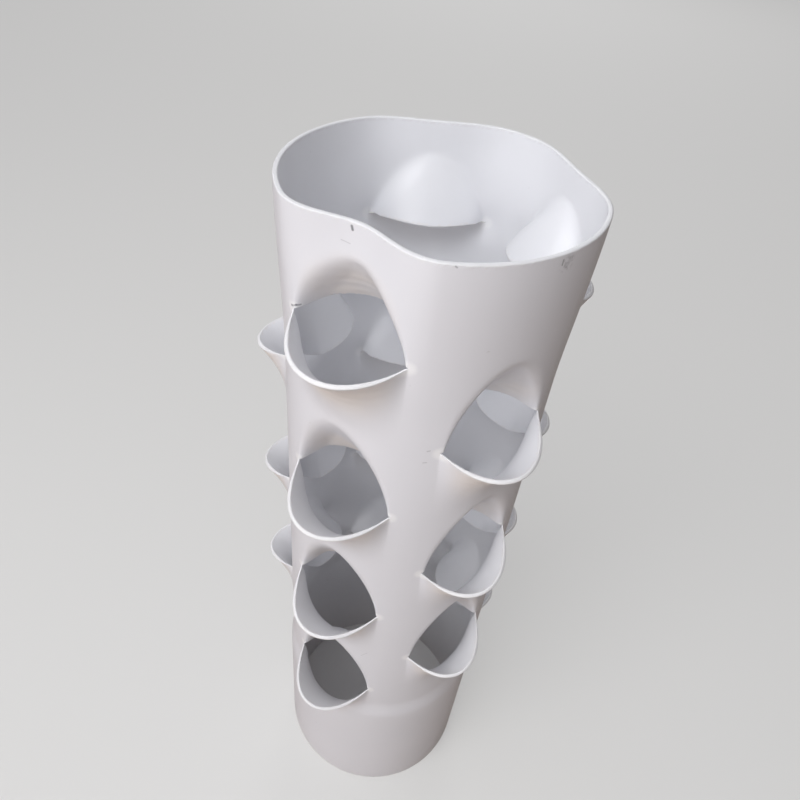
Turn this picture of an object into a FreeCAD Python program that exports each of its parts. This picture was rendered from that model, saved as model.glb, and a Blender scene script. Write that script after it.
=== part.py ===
import FreeCAD, Part
import math
import os

# Planter tower: one length of plastic pipe, stood on end, with planting pockets formed in its wall.
# The wall is slit across at each pocket. Below the slit it is pressed out into a lip,
# and above the slit it is pressed in into a scoop, so that the two edges make a round mouth.
# Origin: the pipe's axis at the bottom face. +Z is up and -Y is the front.
# An azimuth is measured from the front, and grows towards +X.

# Driving dimensions, in millimetres and degrees
DRIVING = (
    ("pipe_diameter", 140.0),
    ("wall", 2.4),
    ("formed_wall", 2.3),
    ("tower_height", 483.0),
    ("neck_in", 2.0),
    ("shoulder_drop", 30.0),
    ("shoulder_length", 20.0),
    ("rim_margin", 49.0),
    ("base_margin", 145.0),
    ("band_height", 90.0),
    ("row_pitch", 92.8),
    ("row_turn", 0.7),
    ("slit_shrink", 1.5),
    ("lip_droop", 7.2),
    ("lip_length", 48.0),
    ("scoop_rise", 4.9),
    ("scoop_length", 47.0),
    ("corner_bend", 8.0),
    ("corner_thinning", 8.0),
    ("rim_flare", 2.8),
    ("rim_fade", 88.0),
    ("rim_dent_angle", 33.0),
    ("azimuth_left", -104.0),
    ("azimuth_front_left", -29.6),
    ("azimuth_front_right", 35.2),
    ("azimuth_right", 112.0),
    ("azimuth_back", 185.0),
    ("slit_left", 56.5),
    ("slit_front_left", 61.5),
    ("slit_front_right", 56.6),
    ("slit_right", 60.0),
    ("slit_back", 66.0),
    ("lip_left", 23.0),
    ("lip_front_left", 24.0),
    ("lip_front_right", 20.4),
    ("lip_right", 19.5),
    ("lip_back", 20.0),
    ("scoop_left", 27.0),
    ("scoop_front_left", 27.0),
    ("scoop_front_right", 28.3),
    ("scoop_right", 26.0),
    ("scoop_back", 18.0),
    ("top_drop_left", 5.0),
    ("top_drop_front", 0.8),
    ("top_rise_between", -2.0),
    ("top_drop_right", 0.9),
    ("top_drop_back", 5.3),
    ("drop_left", 9.0),
    ("drop_front", 3.0),
    ("rise_between", 9.0),
    ("drop_right", 3.5),
    ("drop_back", 7.0),
    ("drop_angle", 40.0),
    ("rim_dent_front_left", 12.7),
    ("rim_dent_right", 6.2),
    ("rim_dent_back", 6.0),
)

# Shape of the formed wall, as powers of the distance from a pocket's edge
LIP_SIDE_POWER = 1.25
LIP_FALL_POWER = 2.0
SCOOP_SIDE_POWER = 0.55
SOFT_SCOOP_SIDE_POWER = 1.05
SCOOP_FALL_POWER = 1.15
SCOOP_ROUNDING = 0.9
SCOOP_SOFTENING = 0.6
SCOOP_BLEND = 0.8
# A scoop takes no more than this share of the wall between its slit and the rim
RIM_SHARE = 0.7

# Points across a pocket, across the web between two pockets, and up a band
POCKET_POINTS = 21
WEB_POINTS = 7
BAND_POINTS = 9
# How far the points across a pocket crowd towards its ends, as an angle
CROWDING = math.radians(82.0)
# How much thinner the wall is where it is pinched at a slit's end
PINCH = 0.75
# How much of the room beside a slit's end the inside of the wall may take
LEAN = 0.75
# Across a fold, the wall's direction is taken over this distance to each side
FOLD_STEP = 2.0
# Step for working out the wall's direction
SLOPE_STEP = 0.01
# How far the formed wall reaches down into the thickness of the plain band
OVERLAP = 2.0

doc = FreeCAD.newDocument("planter_tower")
sheet = doc.addObject("Spreadsheet::Sheet", "sizes")
for row, (alias, value) in enumerate(DRIVING, start=1):
    sheet.set("A%d" % row, alias)
    sheet.set("B%d" % row, str(value))
    sheet.setAlias("B%d" % row, alias)
doc.recompute()

size = {alias: float(getattr(sheet, alias)) for alias, value in DRIVING}
base_radius = size["pipe_diameter"] / 2
# The formed wall starts in the middle of the band's thickness, and narrows from there
start_radius = base_radius - (size["wall"] - size["formed_wall"]) / 2
wall_radius = base_radius - size["neck_in"]
height = size["tower_height"]


def slit_heights(first):
    """Heights of one column's slits, from the top down, as long as the base stays plain."""
    heights = []
    level = first
    while level >= size["base_margin"]:
        heights.append(level)
        level -= size["row_pitch"]
    return heights


top_slit = height - size["rim_margin"]
even_rows = slit_heights(top_slit)
staggered_rows = slit_heights(top_slit - size["row_pitch"] / 2)


class Column:
    """One upright column of pockets."""

    def __init__(self, name, rows, side_power=SCOOP_SIDE_POWER):
        self.top_azimuth = size["azimuth_" + name]
        self.slit = size["slit_" + name]
        self.lip = size["lip_" + name]
        self.scoop = size["scoop_" + name]
        self.side_power = side_power
        self.rows = rows
        self.rim_dent = size.get("rim_dent_" + name, 0.0)

    def azimuth(self, level):
        """Each row down, the column has turned a little."""
        return self.top_azimuth + size["row_turn"] * (top_slit - level) / size["row_pitch"]

    def half_arc(self, level):
        """Half the slit's length. Each row down, the slit is a little shorter."""
        return (self.slit - size["slit_shrink"] * (top_slit - level) / size["row_pitch"]) / 2

    def half_angle(self, level):
        return math.degrees(self.half_arc(level) / wall_radius)


columns = (
    Column("left", staggered_rows),
    Column("front_left", even_rows),
    Column("front_right", staggered_rows, SOFT_SCOOP_SIDE_POWER),
    Column("right", even_rows, SOFT_SCOOP_SIDE_POWER),
    Column("back", even_rows, SOFT_SCOOP_SIDE_POWER),
)
slit_ends = [(column.azimuth(slit) + side * column.half_angle(slit), slit)
             for column in columns for slit in column.rows for side in (-1, 1)]
# The rows were marked by hand. In these directions the top row and the rows below it sit lower,
# and between the front right and the right column they sit higher.
front_web = (columns[1].top_azimuth + columns[2].top_azimuth) / 2
between = columns[2].top_azimuth + columns[2].half_angle(top_slit)
drops = (
    (columns[0].top_azimuth, size["top_drop_left"], size["drop_left"]),
    (front_web, size["top_drop_front"], size["drop_front"]),
    (between, -size["top_rise_between"], -size["rise_between"]),
    (columns[3].top_azimuth, size["top_drop_right"], size["drop_right"]),
    (columns[4].top_azimuth, size["top_drop_back"], size["drop_back"]),
)
lowest_slit = min(even_rows + staggered_rows)
formed_bottom = size["band_height"] - OVERLAP
shoulder_bottom = lowest_slit - size["shoulder_drop"] - size["shoulder_length"] / 2
levels = [formed_bottom, lowest_slit - size["lip_length"]]
levels += sorted(set(even_rows + staggered_rows)) + [height]


def smooth(share):
    """Ease from 0 to 1."""
    share = min(1.0, max(0.0, share))
    return share * share * (3 - 2 * share)


def hump(azimuth, middle, half_angle):
    """1 at the middle azimuth, easing to 0 at the half angle."""
    offset = (azimuth - middle + 180) % 360 - 180
    share = min(1.0, abs(offset) / half_angle)
    return math.cos(share * math.pi / 2) ** 2


def around(azimuth, radius, z):
    angle = math.radians(azimuth)
    return FreeCAD.Vector(radius * math.sin(angle), -radius * math.cos(angle), z)


def body_radius(azimuth, level):
    """Outer radius of the wall, as if it had no pockets."""
    shoulder = 1 - smooth((level - shoulder_bottom) / size["shoulder_length"])
    radius = wall_radius + (start_radius - wall_radius) * shoulder
    near_rim = smooth((level - height + size["rim_fade"]) / size["rim_fade"])
    radius += size["rim_flare"] * near_rim
    for column in columns:
        dent = column.rim_dent * hump(azimuth, column.top_azimuth, size["rim_dent_angle"])
        radius -= dent * near_rim
    return radius


def lowered(azimuth, level):
    """Height of the wall that was marked at this level."""
    below_top_row = smooth((top_slit - level) / size["row_pitch"])
    drop = sum((top + (lower - top) * below_top_row) * hump(azimuth, middle, size["drop_angle"])
               for middle, top, lower in drops)
    below_rim = smooth((height - level) / size["rim_margin"])
    above_base = smooth((level - size["band_height"]) / (lowest_slit - size["band_height"]))
    return level - drop * below_rim * above_base


def body_point(azimuth, level):
    return around(azimuth, body_radius(azimuth, level), lowered(azimuth, level))


def wall_at(azimuth, level):
    """Thickness of the wall, which is pinched at the ends of each slit."""
    thinnest = 0.0
    for end, slit in slit_ends:
        offset = (azimuth - end + 180) % 360 - 180
        away = math.hypot(math.radians(offset) * wall_radius, level - slit)
        thinnest = max(thinnest, math.exp(-(away / size["corner_thinning"]) ** 2))
    return size["formed_wall"] * (1 - PINCH * thinnest)


class Web:
    """The wall between one column and the next."""

    points = WEB_POINTS

    def __init__(self, column, next_column, turn):
        self.column = column
        self.next_column = next_column
        self.turn = turn

    def azimuth(self, share, level):
        start = self.column.azimuth(level) + self.column.half_angle(level)
        end = self.next_column.azimuth(level) + self.turn - self.next_column.half_angle(level)
        return start + (end - start) * (share + 1) / 2

    def across(self):
        return [2 * i / (self.points - 1) - 1 for i in range(self.points)]

    def point(self, share, level, middle):
        return body_point(self.azimuth(share, level), level)

    def room(self, share, level):
        return 0.0

    def has_slit(self, level):
        return False


class Pocketed:
    """The strip of wall that holds one column's pockets."""

    points = POCKET_POINTS

    def __init__(self, column):
        self.column = column

    def azimuth(self, share, level):
        return self.column.azimuth(level) + share * self.column.half_angle(level)

    def across(self):
        steps = [2 * i / (self.points - 1) - 1 for i in range(self.points)]
        return [math.sin(CROWDING * step) / math.sin(CROWDING) for step in steps]

    def point(self, share, level, middle):
        """Outer surface. The band's middle tells which side of each slit the point is on."""
        inside = max(0.0, 1 - share * share)
        azimuth = self.azimuth(share, level)
        radius = body_radius(azimuth, level)
        inward = 0.0
        z = lowered(azimuth, level)
        for slit in self.column.rows:
            if middle < slit:
                away = min(1.0, (slit - level) / size["lip_length"])
                fall = (1 - away) ** LIP_FALL_POWER
                radius += self.column.lip * fall * inside ** (LIP_SIDE_POWER + away)
                z -= size["lip_droop"] * fall * inside
            else:
                length = min(size["scoop_length"], RIM_SHARE * (height - slit))
                away = min(1.0, (level - slit) / length)
                fall = (1 - away) ** SCOOP_FALL_POWER
                # The scoop narrows to a rounded top
                across = min(1.0, abs(share) / math.sqrt(1 - SCOOP_ROUNDING * away * away))
                bend = size["corner_bend"] / self.column.half_arc(slit) + SCOOP_BLEND * away
                side = (1 - across * across) ** (self.column.side_power + SCOOP_SOFTENING * away)
                inward += self.column.scoop * fall * side * smooth((1 - across) / bend)
                z += size["scoop_rise"] * fall * inside
        return around(azimuth, radius, z) - around(self.column.azimuth(level), inward, 0.0)

    def room(self, share, level):
        """How far a point is from the nearer side of the strip."""
        return (1 - abs(share)) * self.column.half_arc(level)

    def has_slit(self, level):
        return level in self.column.rows


def plain_direction(azimuth, level):
    """Unit vector out of the wall, as if it had no pockets."""
    eastwards = body_point(azimuth + SLOPE_STEP, level) - body_point(azimuth - SLOPE_STEP, level)
    upwards = body_point(azimuth, level + SLOPE_STEP) - body_point(azimuth, level - SLOPE_STEP)
    return eastwards.cross(upwards).normalize()


def wall_direction(strip, share, level, middle):
    """Unit vector out of the wall. At a strip's sides it is that of the wall without pockets."""
    plain = plain_direction(strip.azimuth(share, level), level)
    room = strip.room(share, level)
    direction = plain
    if room > SLOPE_STEP:
        reach = min(FOLD_STEP, room) / strip.column.half_arc(level)
        east = strip.point(share + reach, level, middle)
        west = strip.point(share - reach, level, middle)
        above = strip.point(share, level + SLOPE_STEP, middle)
        below = strip.point(share, level - SLOPE_STEP, middle)
        direction = (east - west).cross(above - below).normalize()
        # The wall is pinched at a slit's ends: its inside leans over no further than it has room
        sideways = FreeCAD.Vector(0, 0, 1).cross(plain).normalize()
        lean = direction.dot(sideways)
        most = LEAN * room / size["formed_wall"]
        if abs(lean) > most:
            upright = (direction - sideways * lean).normalize()
            lean = math.copysign(most, lean)
            direction = upright * math.sqrt(1 - lean * lean) + sideways * lean
    # The rim is cut square, and the wall starts square, so its direction is level there
    if level in (levels[0], levels[-1]):
        direction.z = 0.0
        direction.normalize()
    return direction


def wall_offset(strip, share, level, middle):
    """From the inner surface to the outer surface."""
    thickness = wall_at(strip.azimuth(share, level), level)
    return wall_direction(strip, share, level, middle) * thickness


def spline(points, parameters):
    curve = Part.BSplineCurve()
    curve.interpolate(Points=points, Parameters=parameters)
    return curve


def spline_face(grid, across, up):
    """Face through a grid of points. Its edges depend on their own points alone."""
    along = [spline(row, up) for row in grid]
    rows = [curve.getPoles() for curve in along]
    columns_of_poles = [spline([row[j] for row in rows], across) for j in range(len(rows[0]))]
    poles = [[curve.getPoles()[i] for curve in columns_of_poles]
             for i in range(len(columns_of_poles[0].getPoles()))]
    surface = Part.BSplineSurface()
    surface.buildFromPolesMultsKnots(
        poles,
        columns_of_poles[0].getMultiplicities(), along[0].getMultiplicities(),
        columns_of_poles[0].getKnots(), along[0].getKnots(),
        False, False, columns_of_poles[0].Degree, along[0].Degree)
    return surface.toShape()


def wall_faces():
    """Outer and inner faces of the wall, the cut edges at the slits, its start and the rim."""
    faces = []
    ends = {formed_bottom: ([], []), height: ([], [])}
    strips = []
    for i, column in enumerate(columns):
        next_column = columns[(i + 1) % len(columns)]
        turn = 360.0 if i + 1 == len(columns) else 0.0
        strips += [Pocketed(column), Web(column, next_column, turn)]
    for strip in strips:
        shares = strip.across()
        across = [i / (strip.points - 1) for i in range(strip.points)]
        for bottom, top in zip(levels, levels[1:]):
            middle = (bottom + top) / 2
            up = [i / (BAND_POINTS - 1) for i in range(BAND_POINTS)]
            heights = [bottom + (top - bottom) * step for step in up]
            heights[-1] = top
            outer = [[strip.point(share, level, middle) for level in heights]
                     for share in shares]
            inner = [[point - wall_offset(strip, share, level, middle)
                      for point, level in zip(row, heights)]
                     for share, row in zip(shares, outer)]
            faces.append(spline_face(outer, across, up))
            faces.append(spline_face(inner, across, up))
            for level, end in ((bottom, 0), (top, -1)):
                outer_edge = spline([row[end] for row in outer], across).toShape()
                inner_edge = spline([row[end] for row in inner], across).toShape()
                if strip.has_slit(level):
                    faces.append(Part.makeRuledSurface(outer_edge, inner_edge))
                elif level in ends:
                    ends[level][0].append(outer_edge)
                    ends[level][1].append(inner_edge)
    for outside, inside in ends.values():
        rings = [Part.Wire(outside), Part.Wire(inside)]
        faces.append(Part.makeFace(rings, "Part::FaceMakerBullseye"))
    return faces


# The formed wall and the plain band below it are one piece of pipe
shell = Part.makeShell(wall_faces())
shell.sewShape()
formed = Part.makeSolid(shell)
if formed.Volume < 0:
    formed.reverse()
band = Part.makeCylinder(base_radius, size["band_height"])
band = band.cut(Part.makeCylinder(base_radius - size["wall"], size["band_height"]))
tube = doc.addObject("Part::Feature", "planter_tube")
tube.Label = "planter_tube"
fused = band.fuse(formed)
if len(fused.Solids) != 1:
    raise RuntimeError("The formed wall and the plain band do not join into one piece")
tube.Shape = fused.Solids[0]
tube.Placement = FreeCAD.Placement()

doc.recompute()
for item in doc.Objects:
    if "Invalid" in item.State or "Error" in item.State:
        raise RuntimeError("%s is %s" % (item.Label, item.State))

sub_parts = [tube]
for sub_part in sub_parts:
    if sub_part.Shape.isNull() or not sub_part.Shape.isValid():
        raise RuntimeError("%s has no sound shape" % sub_part.Label)

os.makedirs("parts", exist_ok=True)
for sub_part in sub_parts:
    sub_part.Shape.exportStep("parts/%s.step" % sub_part.Label)
    print(sub_part.Label, "solids", len(sub_part.Shape.Solids),
          "volume", round(sub_part.Shape.Volume / 1000, 1), "cm3")
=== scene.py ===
import math
import bmesh
import bpy
import numpy as np
from mathutils import Matrix, Vector


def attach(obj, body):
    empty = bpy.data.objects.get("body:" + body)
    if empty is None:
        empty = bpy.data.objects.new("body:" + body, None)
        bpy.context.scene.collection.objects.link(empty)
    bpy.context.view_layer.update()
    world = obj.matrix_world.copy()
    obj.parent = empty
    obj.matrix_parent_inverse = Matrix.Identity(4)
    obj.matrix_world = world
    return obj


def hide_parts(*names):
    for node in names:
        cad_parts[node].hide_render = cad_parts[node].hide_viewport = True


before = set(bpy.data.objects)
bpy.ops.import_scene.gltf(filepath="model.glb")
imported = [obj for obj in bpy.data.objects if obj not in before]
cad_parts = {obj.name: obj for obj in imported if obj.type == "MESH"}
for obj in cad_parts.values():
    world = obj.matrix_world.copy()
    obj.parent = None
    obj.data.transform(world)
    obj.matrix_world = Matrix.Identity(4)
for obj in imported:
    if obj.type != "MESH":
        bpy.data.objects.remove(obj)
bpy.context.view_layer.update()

# Planter tower: one length of formed pipe, drawn as a single skin with rounded cut edges.
# An azimuth is measured from the front (-Y), and grows towards +X.

# The tube's sizes, in millimetres and degrees, the same as the solid's
BASE_RADIUS = 70.0
FORMED_WALL = 2.3
START_RADIUS = 69.95
BAND_HEIGHT = 90.0
HEIGHT = 483.0
NECK_IN = 2.0
SHOULDER_DROP = 30.0
SHOULDER_LENGTH = 20.0
RIM_MARGIN = 49.0
BASE_MARGIN = 145.0
ROW_PITCH = 92.8
ROW_TURN = 0.7
SLIT_SHRINK = 1.5
LIP_DROOP = 7.2
LIP_LENGTH = 48.0
SCOOP_RISE = 4.9
SCOOP_LENGTH = 47.0
CORNER_BEND = 8.0
CORNER_THINNING = 8.0
RIM_FLARE = 2.8
RIM_FADE = 88.0
RIM_DENT_ANGLE = 33.0
DROP_ANGLE = 40.0
LIP_SIDE_POWER = 1.25
LIP_FALL_POWER = 2.0
SCOOP_SIDE_POWER = 0.55
SOFT_SCOOP_SIDE_POWER = 1.05
SCOOP_FALL_POWER = 1.15
SCOOP_ROUNDING = 0.9
SCOOP_SOFTENING = 0.6
SCOOP_BLEND = 0.8
RIM_SHARE = 0.7
PINCH = 0.75
LEAN = 0.75
FOLD_STEP = 2.0
WALL_RADIUS = BASE_RADIUS - NECK_IN
CROWDING = math.radians(82.0)

# The skin stays this far inside the solid's surface
INSET = 0.02
# Rounding of the cut edges, and the length over which it sets in from a slit's end
EDGE_RADIUS = 0.75
EDGE_ONSET = 5.0
EDGE_STEPS = 4
# Steps of the mesh: across a column of pockets, across the wall between two, and up one band
POCKET_COLUMNS = 72
WEB_COLUMNS = 18
BAND_ROWS = 26
# Small step for slopes, in degrees or millimetres
STEP = 0.01
# Corners closer than this, in metres, are welded
WELD = 2e-6

# Values kept at each corner of the mesh for the material. The first isn't named heat, because
# Cycles keeps that name for smoke.
LAYERS = ("stretch", "edge", "inside", "cut", "pinch")
HEAT_SIDE_POWER = 0.8
NO_EDGE_NEAR = 99.0
EDGE_SPREAD = 10


def slit_heights(first):
    heights = []
    level = first
    while level >= BASE_MARGIN:
        heights.append(level)
        level -= ROW_PITCH
    return heights


TOP_SLIT = HEIGHT - RIM_MARGIN
EVEN_ROWS = slit_heights(TOP_SLIT)
STAGGERED_ROWS = slit_heights(TOP_SLIT - ROW_PITCH / 2)
LOWEST_SLIT = min(EVEN_ROWS + STAGGERED_ROWS)
SHOULDER_BOTTOM = LOWEST_SLIT - SHOULDER_DROP - SHOULDER_LENGTH / 2
LEVELS = [0.0, LOWEST_SLIT - LIP_LENGTH] + sorted(set(EVEN_ROWS + STAGGERED_ROWS)) + [HEIGHT]


class Column:
    """An upright row of pockets: azimuth and slit length at the top row, lip reach, scoop depth, rows."""

    def __init__(self, azimuth, slit, lip, scoop, rows, rim_dent, side_power=SCOOP_SIDE_POWER):
        self.top_azimuth = azimuth
        self.slit = slit
        self.lip = lip
        self.scoop = scoop
        self.rows = rows
        self.rim_dent = rim_dent
        self.side_power = side_power

    def azimuth(self, level):
        return self.top_azimuth + ROW_TURN * (TOP_SLIT - level) / ROW_PITCH

    def half_arc(self, level):
        return (self.slit - SLIT_SHRINK * (TOP_SLIT - level) / ROW_PITCH) / 2

    def half_angle(self, level):
        return np.degrees(self.half_arc(level) / WALL_RADIUS)


LEFT = Column(-104.0, 56.5, 23.0, 27.0, STAGGERED_ROWS, 0.0)
FRONT_LEFT = Column(-29.6, 61.5, 24.0, 27.0, EVEN_ROWS, 12.7)
FRONT_RIGHT = Column(35.2, 56.6, 20.4, 28.3, STAGGERED_ROWS, 0.0, SOFT_SCOOP_SIDE_POWER)
RIGHT = Column(112.0, 60.0, 19.5, 26.0, EVEN_ROWS, 6.2, SOFT_SCOOP_SIDE_POWER)
BACK = Column(185.0, 66.0, 20.0, 18.0, EVEN_ROWS, 6.0, SOFT_SCOOP_SIDE_POWER)
COLUMNS = (LEFT, FRONT_LEFT, FRONT_RIGHT, RIGHT, BACK)
# How far the wall was drawn down as it was pressed: azimuth, drop at the top row, drop at the rows below it
DROPS = (
    (LEFT.top_azimuth, 5.0, 9.0),
    ((FRONT_LEFT.top_azimuth + FRONT_RIGHT.top_azimuth) / 2, 0.8, 3.0),
    (FRONT_RIGHT.top_azimuth + FRONT_RIGHT.half_angle(TOP_SLIT), 2.0, -9.0),
    (RIGHT.top_azimuth, 0.9, 3.5),
    (BACK.top_azimuth, 5.3, 7.0),
)
SLIT_ENDS = [(column.azimuth(slit) + side * column.half_angle(slit), slit)
             for column in COLUMNS for slit in column.rows for side in (-1, 1)]


def smooth(share):
    share = np.clip(share, 0.0, 1.0)
    return share * share * (3 - 2 * share)


def apart(azimuth, middle):
    return (azimuth - middle + 180) % 360 - 180


def hump(azimuth, middle, half_angle):
    share = np.minimum(1.0, np.abs(apart(azimuth, middle)) / half_angle)
    return np.cos(share * math.pi / 2) ** 2


def around(azimuth, radius, z):
    angle = np.radians(azimuth)
    return np.stack(np.broadcast_arrays(radius * np.sin(angle), -radius * np.cos(angle), z), -1)


def unit(vectors):
    return vectors / np.linalg.norm(vectors, axis=-1, keepdims=True)


def body_radius(azimuth, level):
    shoulder = 1 - smooth((level - SHOULDER_BOTTOM) / SHOULDER_LENGTH)
    radius = WALL_RADIUS + (START_RADIUS - WALL_RADIUS) * shoulder
    near_rim = smooth((level - HEIGHT + RIM_FADE) / RIM_FADE)
    radius = radius + RIM_FLARE * near_rim
    for column in COLUMNS:
        if column.rim_dent:
            dent = hump(azimuth, column.top_azimuth, RIM_DENT_ANGLE)
            radius = radius - column.rim_dent * dent * near_rim
    return radius


def lowered(azimuth, level):
    below_top_row = smooth((TOP_SLIT - level) / ROW_PITCH)
    drop = sum((top + (lower - top) * below_top_row) * hump(azimuth, middle, DROP_ANGLE)
               for middle, top, lower in DROPS)
    below_rim = smooth((HEIGHT - level) / RIM_MARGIN)
    above_base = smooth((level - BAND_HEIGHT) / (LOWEST_SLIT - BAND_HEIGHT))
    return level - drop * below_rim * above_base


def body_point(azimuth, level):
    return around(azimuth, body_radius(azimuth, level), lowered(azimuth, level))


def wall_at(azimuth, level):
    """The wall's thickness: it is pinched thin at each slit's ends."""
    thinnest = 0.0
    for end, slit in SLIT_ENDS:
        away = np.hypot(np.radians(apart(azimuth, end)) * WALL_RADIUS, level - slit)
        thinnest = np.maximum(thinnest, np.exp(-(away / CORNER_THINNING) ** 2))
    return FORMED_WALL * (1 - PINCH * thinnest)


class Web:
    """The unpressed wall between two columns. A share runs from -1 to 1 across it."""

    shares = np.linspace(-1, 1, WEB_COLUMNS + 1)
    rows = ()

    def __init__(self, column, next_column, turn):
        self.column = column
        self.next_column = next_column
        self.turn = turn

    def azimuth(self, share, level):
        start = self.column.azimuth(level) + self.column.half_angle(level)
        end = self.next_column.azimuth(level) + self.turn - self.next_column.half_angle(level)
        return start + (end - start) * (share + 1) / 2

    def point(self, share, level, middle):
        return body_point(self.azimuth(share, level), level)

    def room(self, share, level):
        return share * 0.0

    def heat(self, share, level, middle):
        return share * 0.0 + level * 0.0, share * 0.0 + level * 0.0 + NO_EDGE_NEAR


class Pocketed:
    """The wall of one column, with its lips and scoops. A share runs from -1 to 1 across it."""

    # Closer together towards the slits' ends
    shares = np.sin(CROWDING * np.linspace(-1, 1, POCKET_COLUMNS + 1)) / math.sin(CROWDING)

    def __init__(self, column):
        self.column = column
        self.rows = column.rows

    def azimuth(self, share, level):
        return self.column.azimuth(level) + share * self.column.half_angle(level)

    def point(self, share, level, middle):
        """A point of the outer surface. The band's middle level tells a lip from the scoop above it."""
        inside = np.maximum(0.0, 1 - share * share)
        azimuth = self.azimuth(share, level)
        radius = body_radius(azimuth, level)
        inward = 0.0
        z = lowered(azimuth, level)
        for slit in self.rows:
            if middle < slit:
                away = np.minimum(1.0, (slit - level) / LIP_LENGTH)
                fall = (1 - away) ** LIP_FALL_POWER
                radius = radius + self.column.lip * fall * inside ** (LIP_SIDE_POWER + away)
                z = z - LIP_DROOP * fall * inside
            else:
                length = min(SCOOP_LENGTH, RIM_SHARE * (HEIGHT - slit))
                away = np.minimum(1.0, (level - slit) / length)
                fall = (1 - away) ** SCOOP_FALL_POWER
                across = np.minimum(1.0, np.abs(share) / np.sqrt(1 - SCOOP_ROUNDING * away * away))
                bend = CORNER_BEND / self.column.half_arc(slit) + SCOOP_BLEND * away
                side = (1 - across * across) ** (self.column.side_power + SCOOP_SOFTENING * away)
                inward = inward + self.column.scoop * fall * side * smooth((1 - across) / bend)
                z = z + SCOOP_RISE * fall * inside
        return around(azimuth, radius, z) - around(self.column.azimuth(level), inward, 0.0)

    def room(self, share, level):
        """Distance along the wall to the nearer end of the slit."""
        return (1 - np.abs(share)) * self.column.half_arc(level)

    def heat(self, share, level, middle):
        """How much the wall was heated and stretched, and how far it is from the nearest cut edge."""
        inside = np.maximum(0.0, 1 - share * share)
        most = share * 0.0 + level * 0.0
        edge = share * 0.0 + level * 0.0 + NO_EDGE_NEAR
        for slit in self.rows:
            away = (slit - level) / LIP_LENGTH if middle < slit else (level - slit) / SCOOP_LENGTH
            most = np.maximum(most, np.clip(1 - away, 0, 1) * inside ** HEAT_SIDE_POWER)
            edge = np.minimum(edge, np.hypot(level - slit, EDGE_SPREAD * share * share))
        return most, edge


def wall_direction(strip, share, level, middle):
    """Unit vector out of the wall, from small steps along and across it."""
    azimuth = strip.azimuth(share, level)
    plain = unit(np.cross(body_point(azimuth + STEP, level) - body_point(azimuth - STEP, level),
                          body_point(azimuth, level + STEP) - body_point(azimuth, level - STEP)))
    room = strip.room(share, level) + level * 0.0
    reach = np.minimum(FOLD_STEP, np.maximum(room, STEP)) / strip.column.half_arc(level)
    east = strip.point(share + reach, level, middle)
    west = strip.point(share - reach, level, middle)
    above = strip.point(share, level + STEP, middle)
    below = strip.point(share, level - STEP, middle)
    with np.errstate(invalid="ignore", divide="ignore"):
        direction = unit(np.cross(east - west, above - below))
    direction = np.where((room > STEP)[..., None], direction, plain)
    # Near a slit's ends it may lean sideways only as far as there is room for the wall
    up = np.array([0.0, 0.0, 1.0])
    sideways = unit(np.cross(up, plain))
    lean = (direction * sideways).sum(-1)
    most = LEAN * room / FORMED_WALL
    limited = np.clip(lean, -most, most)
    upright = unit(direction - sideways * lean[..., None])
    leant = upright * np.sqrt(np.maximum(0.0, 1 - limited ** 2))[..., None] + sideways * limited[..., None]
    direction = np.where((np.abs(lean) > most)[..., None] & (room > STEP)[..., None], leant, direction)
    # The foot and the rim are cut square
    flat = (level <= 0.0) | (level >= HEIGHT)
    direction = np.where(flat[..., None], direction * np.array([1.0, 1.0, 0.0]), direction)
    return unit(direction)


def edge_profile(outer, inner, beyond, radius):
    """Rows of points that round a cut edge, from the outer surface over to the inner one."""
    out = unit(outer - inner)
    r = radius[:, None]
    rows = []
    for k in range(EDGE_STEPS + 1):
        a = math.pi / 2 * k / EDGE_STEPS
        rows.append(outer - out * r + beyond * (math.sin(a) - 1) * r + out * r * math.cos(a))
    for k in range(EDGE_STEPS + 1):
        a = math.pi / 2 * (1 - k / EDGE_STEPS)
        rows.append(inner + out * r + beyond * (math.sin(a) - 1) * r - out * r * math.cos(a))
    return rows


class Skin:
    """Gathers grids of quads into one mesh, with a few values kept at each corner."""

    def __init__(self):
        self.points = []
        self.faces = []
        self.values = []
        self.count = 0

    def grid(self, points, values):
        rows, across = points.shape[:2]
        index = self.count + np.arange(rows * across).reshape(rows, across)
        quads = np.stack([index[:-1, :-1], index[:-1, 1:], index[1:, 1:], index[1:, :-1]], -1)
        self.points.append(points.reshape(-1, 3))
        self.values.append(values.reshape(-1, values.shape[-1]))
        self.faces.append(quads.reshape(-1, 4))
        self.count += rows * across


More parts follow.
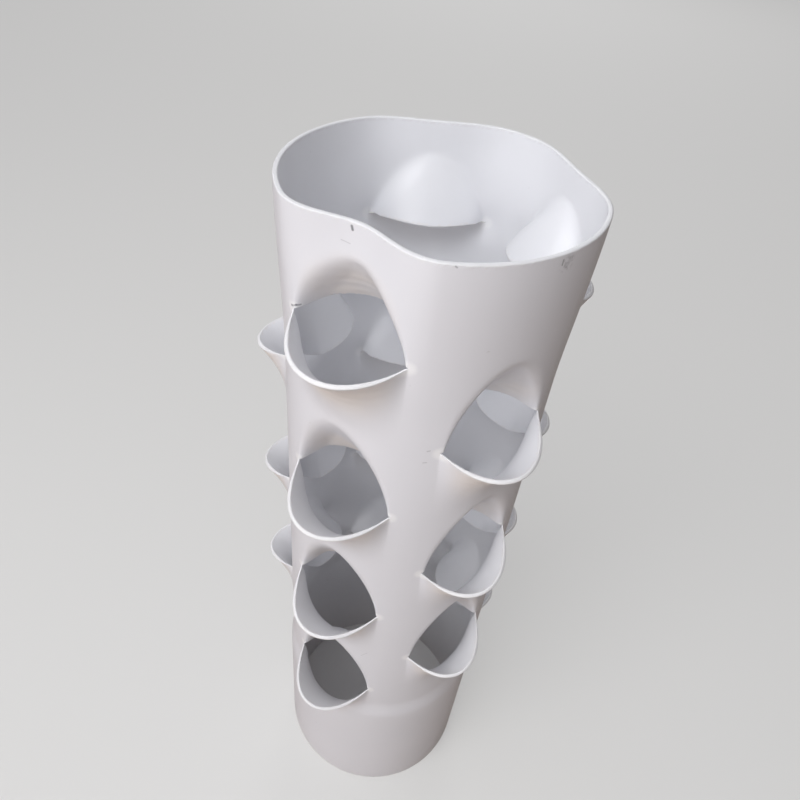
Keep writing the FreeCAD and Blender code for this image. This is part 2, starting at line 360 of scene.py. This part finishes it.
def add_band(skin, strip, bottom, top):
    """Adds a strip's outer and inner surface between two levels, and rounds the ends that are cut."""
    middle = (bottom + top) / 2
    share = strip.shares[None, :]
    steps = np.linspace(0, 1, BAND_ROWS + 1)
    level = (bottom + (top - bottom) * steps)[:, None] + 0 * share
    share = share + 0 * level
    outer = strip.point(share, level, middle)
    direction = wall_direction(strip, share, level, middle)
    thick = wall_at(strip.azimuth(share, level), level)[..., None]
    inner = outer - direction * (thick - INSET)
    outer = outer - direction * INSET
    heat, edge = strip.heat(share, level, middle)
    cut_bottom = bottom in strip.rows or bottom == 0.0
    cut_top = top in strip.rows or top == HEIGHT
    room = np.minimum(1.0, strip.room(strip.shares, middle) / EDGE_ONSET)
    rounding = []
    for end_level, end, beside, is_cut in ((bottom, 0, 1, cut_bottom), (top, -1, -2, cut_top)):
        if not is_cut:
            rounding.append(None)
            continue
        beyond = unit(outer[end] - outer[beside])
        radius = np.full(outer.shape[1], EDGE_RADIUS)
        if end_level in strip.rows:
            radius = radius * smooth(room) * np.minimum(1.0, thick[end, :, 0] / FORMED_WALL)
        rounding.append(edge_profile(outer[end], inner[end], beyond, radius))
        outer = outer.copy()
        inner = inner.copy()
        outer[end] = rounding[-1][0]
        inner[end] = rounding[-1][-1]
    ones = np.ones_like(heat)
    pinch = (1 - thick[..., 0] / FORMED_WALL) / PINCH
    # Each corner's values are in the order of LAYERS
    skin.grid(outer, np.stack([heat, edge, 0 * ones, 0 * ones, pinch], -1))
    skin.grid(inner[::-1], np.stack([heat, edge, ones, 0 * ones, pinch], -1)[::-1])
    for profile, end in zip(rounding, (0, -1)):
        if profile is None:
            continue
        rows = np.stack(profile if end == -1 else profile[::-1])
        value = np.stack([heat[end], 0 * edge[end], 0.5 * ones[end], ones[end], pinch[end]], -1)
        skin.grid(rows, np.repeat(value[None], len(rows), 0))


def build_skin():
    skin = Skin()
    for i, column in enumerate(COLUMNS):
        next_column = COLUMNS[(i + 1) % len(COLUMNS)]
        turn = 360.0 if i + 1 == len(COLUMNS) else 0.0
        for strip in (Pocketed(column), Web(column, next_column, turn)):
            for bottom, top in zip(LEVELS, LEVELS[1:]):
                add_band(skin, strip, bottom, top)
    points = np.concatenate(skin.points) / 1000.0
    faces = np.concatenate(skin.faces)
    values = np.concatenate(skin.values)
    mesh = bpy.data.meshes.new("tube_skin")
    mesh.from_pydata(points.tolist(), [], faces.tolist())
    for k, name in enumerate(LAYERS):
        layer = mesh.attributes.new(name, "FLOAT", "POINT")
        layer.data.foreach_set("value", values[:, k].astype(np.float32))
    mesh.polygons.foreach_set("use_smooth", [True] * len(mesh.polygons))
    piece = bpy.data.objects.new("tube_skin", mesh)
    bpy.context.scene.collection.objects.link(piece)
    bm = bmesh.new()
    bm.from_mesh(mesh)
    bmesh.ops.remove_doubles(bm, verts=bm.verts, dist=WELD)
    bm.to_mesh(mesh)
    bm.free()
    mesh.update()
    return piece


class Graph:
    """Adds nodes to a node tree. An input is a number, a vector, a colour or another node's output."""

    def __init__(self, owner):
        owner.use_nodes = True
        self.nodes = owner.node_tree.nodes
        self.links = owner.node_tree.links

    def feed(self, socket, value):
        if isinstance(value, bpy.types.NodeSocket):
            self.links.new(value, socket)
        else:
            socket.default_value = value

    def add(self, kind, inputs=None, **settings):
        node = self.nodes.new("ShaderNode" + kind)
        for name, value in settings.items():
            setattr(node, name, value)
        for key, value in (inputs or {}).items():
            self.feed(node.inputs[key], value)
        return node

    def math(self, operation, *values):
        return self.add("Math", dict(enumerate(values)), operation=operation).outputs[0]

    def vector(self, operation, a, b=None, scale=None):
        inputs = {key: value for key, value in ((0, a), (1, b), ("Scale", scale)) if value is not None}
        node = self.add("VectorMath", inputs, operation=operation)
        return node.outputs["Value" if operation in ("DOT_PRODUCT", "LENGTH") else "Vector"]

    def ramp(self, value, low, high):
        """0 up to the low value, easing to 1 at the high one."""
        inputs = {"Value": value, "From Min": low, "From Max": high}
        return self.add("MapRange", inputs, interpolation_type="SMOOTHSTEP").outputs["Result"]

    def mix(self, share, a, b, blend="MIX"):
        a, b = ((*color, 1.0) if isinstance(color, tuple) else color for color in (a, b))
        return self.add("Mix", {0: share, 6: a, 7: b}, data_type="RGBA", blend_type=blend).outputs[2]


tube = build_skin()

# White PVC: its tones outside, inside (with painted fill light), where it was heated (the heated PVC's own
# tint with painted warm bounce light and painted fill), on cut edges and where it was pinched
OUTSIDE_WHITE = (0.785, 0.785, 0.825)
# Inside tone: painted lighter and bluer than the outside, a painted fill light inside the tube
INSIDE_FILL_WHITE = (0.845, 0.85, 0.88)
# Heated tone: warmer and lighter than the outside, partly the PVC's own tint, partly painted warm bounce
# light and painted fill in the scoops' shade
WARM_FILL_WHITE = (0.95, 0.88, 0.82)
CUT_WHITE = (0.80, 0.80, 0.82)
PINCH_WHITE = (0.93, 0.93, 0.945)
DUST = (0.42, 0.39, 0.37)
PENCIL = (0.20, 0.20, 0.22)
CLOUD_DARK = (0.97, 0.97, 0.97)
CLOUD_LIGHT = (1.03, 1.03, 1.03)

# Strength of each tone over the ones before it
WARM_FILL_STRENGTH = 0.85
CUT_STRENGTH = 0.8
PINCH_STRENGTH = 0.8
DUST_STRENGTH = 0.35
SMUDGE_STRENGTH = 0.30

# Where a value starts to tell, and where it tells in full
INSIDE_SPAN = (0.2, 0.8)
WARM_HEAT_SPAN = (0.15, 0.75)
WARM_MOTTLE_SPAN = (0.2, 0.6)
PINCH_SPAN = (0.72, 0.97)
CLOUD_SPAN = (0.3, 0.8)
DUST_SPAN = (0.74, 0.8)
DUST_PATCH_SPAN = (0.5, 0.65)
SMUDGE_SPAN = (0.45, 0.6)
STROKE_SPAN = (0.3, 1.0)
WRINKLE_SPAN = (0.25, 0.7)

# Noises: scale, detail, and how far one is stretched along each axis
MOTTLE = (22, 4)
CLOUDS = (9, 3)
DUST_GRAIN = (260, 2)
DUST_PATCHES = (30, 2)
SMUDGE_GRAIN = (700, 3)
GLOSS = (70, 4)
EXTRUSION_LINES = (180, 2, (1, 1, 0.02))
ORANGE_PEEL = (420, 2)
SAW_MARKS = (900, 2, (1, 1, 0.4))

# Pencil marks, scratches, specks and a saw's overcut: start, end, width (mm) and strength
MARKS = (
    ((-31.6, -49.3, 481.0), (-31.2, -49.4, 479.7), 0.85, 0.90),
    ((-35.5, -47.9, 474.3), (-31.9, -49.3, 473.8), 0.35, 0.25),
    ((46.3, -53.6, 480.6), (46.3, -53.5, 478.4), 0.55, 0.60),
    ((49.4, -50.7, 480.2), (48.2, -51.8, 477.2), 1.60, 0.20),
    ((7.4, -70.4, 482.2), (7.9, -70.3, 481.8), 0.50, 0.50),
    ((27.1, -67.6, 276.5), (27.4, -67.5, 276.3), 0.60, 0.50),
    ((8.4, -67.5, 387.4), (9.5, -67.3, 387.8), 0.55, 0.35),
    ((7.3, -67.6, 379.9), (8.8, -67.4, 380.2), 0.50, 0.30),
    ((-11.6, -67.0, 196.0), (-8.0, -67.5, 201.3), 0.40, 0.20),
    ((-57.1, -38.2, 435.0), (-54.9, -39.4, 436.3), 0.85, 0.75),
    ((-54.9, -39.4, 436.3), (-53.2, -38.8, 436.2), 0.85, 0.75),
)
SMUDGE = (48.3, -51.6, 478.5)
SMUDGE_WIDTH = 5.0

# Roughness, and what the gloss noise and a cut edge add to it
ROUGHNESS = 0.30
GLOSS_ROUGHNESS = 0.12
CUT_ROUGHNESS = 0.15
PVC_IOR = 1.53
SPECULAR_LEVEL = 0.5

# Relief, in metres, and how fast the wrinkles follow each other away from a cut edge
WRINKLE_RELIEF = 0.00007
LINE_RELIEF = 0.00006
PEEL_RELIEF = 0.00002
SAW_RELIEF = 0.00018
WRINKLE_RATE = 0.9
WRINKLE_WANDER = 6.0

material = bpy.data.materials.new("white_pvc")
pvc = Graph(material)
shader = pvc.nodes["Principled BSDF"]
coordinates = pvc.add("TexCoord").outputs["Object"]
heat, edge, inside, cut, pinch = (pvc.add("Attribute", attribute_name=name).outputs["Fac"]
                                  for name in LAYERS)
outside = pvc.math("SUBTRACT", 1.0, inside)


def noise(scale, detail, stretch=(1, 1, 1)):
    mapping = pvc.add("Mapping", {"Vector": coordinates, "Scale": stretch})
    inputs = {"Vector": mapping.outputs["Vector"], "Scale": scale, "Detail": detail}
    return pvc.add("TexNoise", inputs).outputs["Fac"]


def stroke(start, end, width):
    """1 on a short line, easing to 0 at its width. All in millimetres."""
    start = Vector(start) / 1000
    end = Vector(end) / 1000
    length = (end - start).length
    from_line = pvc.vector("SUBTRACT", coordinates, start)
    if length > 0:
        direction = (end - start) / length
        along = pvc.math("MINIMUM", pvc.vector("DOT_PRODUCT", from_line, direction), length)
        along = pvc.math("MAXIMUM", along, 0.0)
        from_line = pvc.vector("SUBTRACT", from_line, pvc.vector("SCALE", direction, scale=along))
    away = pvc.math("DIVIDE", pvc.vector("LENGTH", from_line), width / 1000)
    return pvc.math("SUBTRACT", 1.0, pvc.ramp(away, *STROKE_SPAN))


def tinted(color, rgb, share, strength):
    return pvc.mix(pvc.math("MULTIPLY", share, strength), color, rgb)


mottle = noise(*MOTTLE)
# Where the scoops and lips were heated: the PVC's own warm tint together with painted warm bounce light and
# painted fill
warmth_and_fill = pvc.math("MULTIPLY", pvc.ramp(heat, *WARM_HEAT_SPAN), outside)
warmth_and_fill = pvc.math("MULTIPLY", warmth_and_fill, pvc.ramp(mottle, *WARM_MOTTLE_SPAN))
clouds = pvc.mix(pvc.ramp(noise(*CLOUDS), *CLOUD_SPAN), CLOUD_DARK, CLOUD_LIGHT)
dust = pvc.math("MULTIPLY", pvc.ramp(noise(*DUST_GRAIN), *DUST_SPAN),
                pvc.ramp(noise(*DUST_PATCHES), *DUST_PATCH_SPAN))
smudge = pvc.math("MULTIPLY", stroke(SMUDGE, SMUDGE, SMUDGE_WIDTH),
                  pvc.ramp(noise(*SMUDGE_GRAIN), *SMUDGE_SPAN))

# The inner wall takes the lighter, bluer tone: painted fill light inside the tube
color = pvc.mix(pvc.ramp(inside, *INSIDE_SPAN), OUTSIDE_WHITE, INSIDE_FILL_WHITE)
# Warmer, lighter tone on the heated scoops and lips: own tint plus painted bounce light and painted fill
color = tinted(color, WARM_FILL_WHITE, warmth_and_fill, WARM_FILL_STRENGTH)
color = tinted(color, CUT_WHITE, cut, CUT_STRENGTH)
color = tinted(color, PINCH_WHITE, pvc.ramp(pinch, *PINCH_SPAN), PINCH_STRENGTH)
color = pvc.mix(1.0, color, clouds, "MULTIPLY")
color = tinted(color, DUST, dust, DUST_STRENGTH)
for start, end, width, strength in MARKS:
    color = tinted(color, PENCIL, stroke(start, end, width), strength)
color = tinted(color, PENCIL, smudge, SMUDGE_STRENGTH)
pvc.feed(shader.inputs["Base Color"], color)

roughness = pvc.math("MULTIPLY_ADD", noise(*GLOSS), GLOSS_ROUGHNESS, ROUGHNESS)
roughness = pvc.math("MULTIPLY_ADD", cut, CUT_ROUGHNESS, roughness)
pvc.feed(shader.inputs["Roughness"], roughness)
shader.inputs["IOR"].default_value = PVC_IOR
shader.inputs["Specular IOR Level"].default_value = SPECULAR_LEVEL

# Heat wrinkles round the mouths, faint extrusion lines up the pipe, and saw marks on the cut edges
wrinkles = pvc.math("MULTIPLY_ADD", mottle, WRINKLE_WANDER, pvc.math("MULTIPLY", edge, WRINKLE_RATE))
wrinkles = pvc.math("MULTIPLY", pvc.math("SINE", wrinkles), pvc.ramp(heat, *WRINKLE_SPAN))
wrinkles = pvc.math("MULTIPLY", wrinkles, outside)
relief = pvc.math("MULTIPLY", wrinkles, WRINKLE_RELIEF)
relief = pvc.math("MULTIPLY_ADD", noise(*EXTRUSION_LINES), LINE_RELIEF, relief)
relief = pvc.math("MULTIPLY_ADD", noise(*ORANGE_PEEL), PEEL_RELIEF, relief)
sawn = pvc.math("MULTIPLY", noise(*SAW_MARKS), cut)
relief = pvc.math("MULTIPLY_ADD", sawn, SAW_RELIEF, relief)
bump = pvc.add("Bump", {"Strength": 1.0, "Distance": 1.0, "Height": relief})
pvc.feed(shader.inputs["Normal"], bump.outputs["Normal"])

tube.data.materials.append(material)
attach(tube, "root")
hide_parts("planter_tube")

# Floor: pale to the camera, and darker and warmer in what it throws back on the tower
FLOOR_REACH = 6
FLOOR_PALE = (0.80, 0.79, 0.78)
FLOOR_BOUNCE = (0.34, 0.28, 0.24)
FLOOR_GLOW = (0.66, 0.66, 0.65, 1.0)
FLOOR_GLOW_SHARE = 0.45
FLOOR_ROUGHNESS = 0.8
# The floor that shows through the tube's open foot gets no glow, a painted shadow there. In metres.
FOOT_OPENING = 0.069

floor_mesh = bpy.data.meshes.new("floor")
corners = [(x * FLOOR_REACH, y * FLOOR_REACH, 0) for x, y in ((-1, -1), (1, -1), (1, 1), (-1, 1))]
floor_mesh.from_pydata(corners, [], [(0, 1, 2, 3)])
floor = bpy.data.objects.new("floor", floor_mesh)
bpy.context.scene.collection.objects.link(floor)
floor_material = bpy.data.materials.new("floor_pale")
floor.data.materials.append(floor_material)
ground = Graph(floor_material)
matte = ground.nodes["Principled BSDF"]
matte.inputs["Roughness"].default_value = FLOOR_ROUGHNESS
seen = ground.add("LightPath").outputs["Is Camera Ray"]
ground.feed(matte.inputs["Base Color"], ground.mix(seen, FLOOR_BOUNCE, FLOOR_PALE))
glow = ground.add("Emission", {"Color": FLOOR_GLOW, "Strength": 1.0})
from_axis = ground.vector("LENGTH", ground.add("TexCoord").outputs["Object"])
# No glow within the foot's opening: a painted shadow on the floor there
glowing = ground.math("MULTIPLY", ground.math("MULTIPLY", seen, FLOOR_GLOW_SHARE),
                      ground.math("GREATER_THAN", from_axis, FOOT_OPENING))
surface = ground.add("MixShader", {0: glowing, 1: matte.outputs[0], 2: glow.outputs[0]})
ground.feed(ground.nodes["Material Output"].inputs["Surface"], surface.outputs[0])

# The studio is lighter on the left, and a little dimmer and warmer on the right
STUDIO_LEFT = (0.54, 0.54, 0.56)
STUDIO_RIGHT = (0.23, 0.22, 0.215)

world = bpy.data.worlds.new("studio")
studio = Graph(world)
bpy.context.scene.world = world
background = studio.nodes["Background"]
toward = studio.add("SeparateXYZ", {0: studio.add("TexCoord").outputs["Generated"]})
tone = studio.mix(studio.ramp(toward.outputs["X"], -1.0, 1.0), STUDIO_LEFT, STUDIO_RIGHT)
studio.feed(background.inputs["Color"], tone)
background.inputs["Strength"].default_value = 1.0

# Lamps: name, place and target (m), side (m), power (W), colour
LAMPS = (
    ("key", (-0.66, -0.90, 1.10), (0, 0, 0.40), 1.0, 9.6, (1.0, 0.985, 0.98)),
    ("low", (-0.45, -1.4, 0.14), (0, 0, 0.44), 0.8, 3.3, (1.0, 0.965, 0.94)),
    ("sky", (-0.3, -0.8, 1.8), (0, 0, 0.45), 1.2, 7.6, (0.93, 0.96, 1.0)),
    ("back", (0.20, 3.8, 2.2), (0, 0, 0.25), 1.6, 26.0, (0.97, 0.985, 1.0)),
)
for name, position, target, side, power, rgb in LAMPS:
    lamp_data = bpy.data.lights.new(name, "AREA")
    lamp_data.shape = "RECTANGLE"
    lamp_data.size = side
    lamp_data.size_y = side
    lamp_data.energy = power
    lamp_data.color = rgb
    lamp = bpy.data.objects.new(name, lamp_data)
    lamp.location = position
    lamp.rotation_euler = (Vector(target) - Vector(position)).to_track_quat("-Z", "Y").to_euler()
    bpy.context.scene.collection.objects.link(lamp)

# Camera, at the photograph's place: focal length in the photograph's pixels, place in metres,
# turns in radians
FOCAL_PIXELS = 673.39
PICTURE_PIXELS = 800
SENSOR_WIDTH = 36.0
CAMERA_PLACE = (-0.00281, -0.2730, 0.6007)
YAW = -0.0164
PITCH = 0.7334
ROLL = 0.1182

camera_data = bpy.data.cameras.new("camera")
camera_data.sensor_width = SENSOR_WIDTH
camera_data.lens = FOCAL_PIXELS / PICTURE_PIXELS * SENSOR_WIDTH
camera_data.clip_start = 0.01
camera = bpy.data.objects.new("camera", camera_data)
forward = Vector((math.sin(YAW) * math.cos(PITCH), math.cos(YAW) * math.cos(PITCH), -math.sin(PITCH)))
level_right = Vector((math.cos(YAW), -math.sin(YAW), 0))
level_up = level_right.cross(forward)
right = level_right * math.cos(ROLL) + level_up * math.sin(ROLL)
up = -level_right * math.sin(ROLL) + level_up * math.cos(ROLL)
pose = Matrix((right, up, -forward)).transposed().to_4x4()
pose.translation = Vector(CAMERA_PLACE)
camera.matrix_world = pose
bpy.context.scene.collection.objects.link(camera)
bpy.context.scene.camera = camera

bpy.context.scene.view_settings.view_transform = "Standard"
